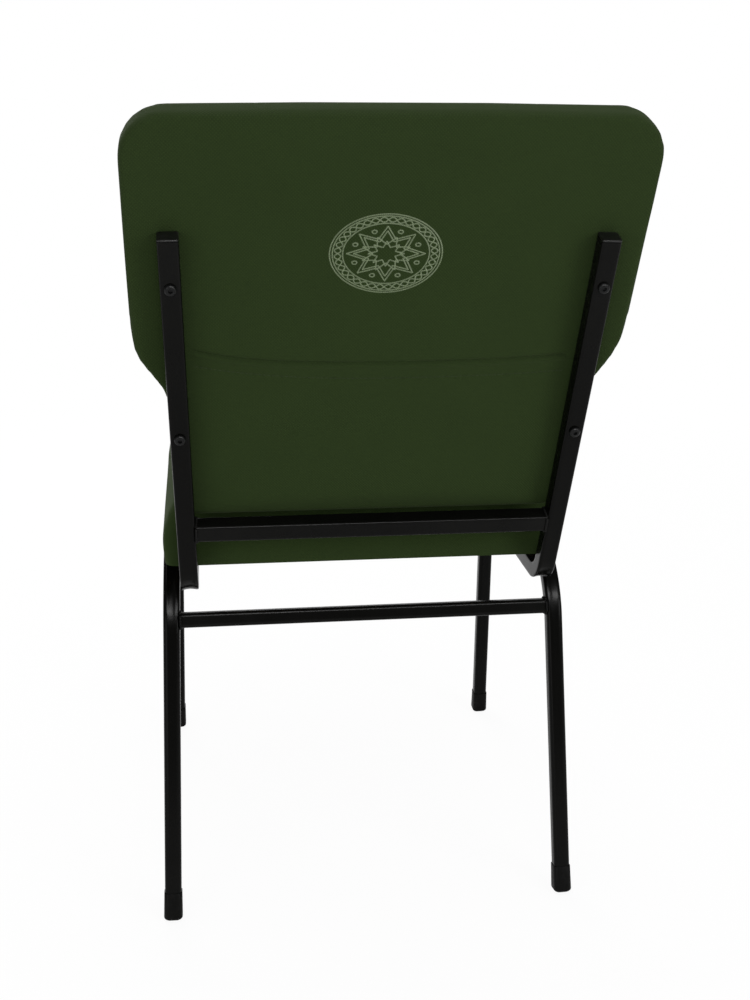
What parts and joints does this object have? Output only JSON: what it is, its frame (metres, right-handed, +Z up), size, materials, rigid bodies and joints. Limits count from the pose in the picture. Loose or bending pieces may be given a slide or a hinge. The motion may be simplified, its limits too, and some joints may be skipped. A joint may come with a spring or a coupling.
{
  "type": "choir chair",
  "caption": "Stacking choir chair with an olive upholstered seat and winged back on a black square-tube steel frame.",
  "frame": {"origin": "on the floor, under the middle of the chair's box", "axes": "+X to the sitter's left, +Y to the rear, +Z up"},
  "size_m": [0.4736, 0.5506, 0.8531],
  "materials": {
    "frame_paint": "black semi-gloss powder coat",
    "black_plastic": "moulded, satin",
    "black_bolt": "black zinc",
    "zinc": "bright zinc plate",
    "plywood": "raw birch plywood",
    "olive_fabric": "woven upholstery cloth",
    "dust_cloth": "black non-woven cloth"
  },
  "bodies": {
    "root": {"left_leg_frame": "frame_paint", "left_back_tube": "frame_paint", "left_front_glide": "black_plastic", "left_rear_glide": "black_plastic", "left_upright_cap": "black_plastic", "left_rail_plug": "black_plastic", "right_leg_frame": "frame_paint", "right_back_tube": "frame_paint", "right_front_glide": "black_plastic", "right_rear_glide": "black_plastic", "right_upright_cap": "black_plastic", "right_rail_plug": "black_plastic", "back_crossbar": "frame_paint", "rear_stretcher": "frame_paint", "front_seat_strap": "frame_paint", "rear_seat_strap": "frame_paint", "back_bolt_upper_left": "black_bolt", "back_insert_upper_left": "zinc", "back_bolt_upper_right": "black_bolt", "back_insert_upper_right": "zinc", "back_bolt_lower_left": "black_bolt", "back_insert_lower_left": "zinc", "back_bolt_lower_right": "black_bolt", "back_insert_lower_right": "zinc", "seat_screw_front_left": "zinc", "seat_screw_front_right": "zinc", "seat_screw_rear_left": "zinc", "seat_screw_rear_right": "zinc", "back_board": "plywood", "seat_board": "plywood", "back_cushion": "olive_fabric", "seat_cushion": "olive_fabric", "seat_dust_cover": "dust_cloth"}
  },
  "joints": []
}
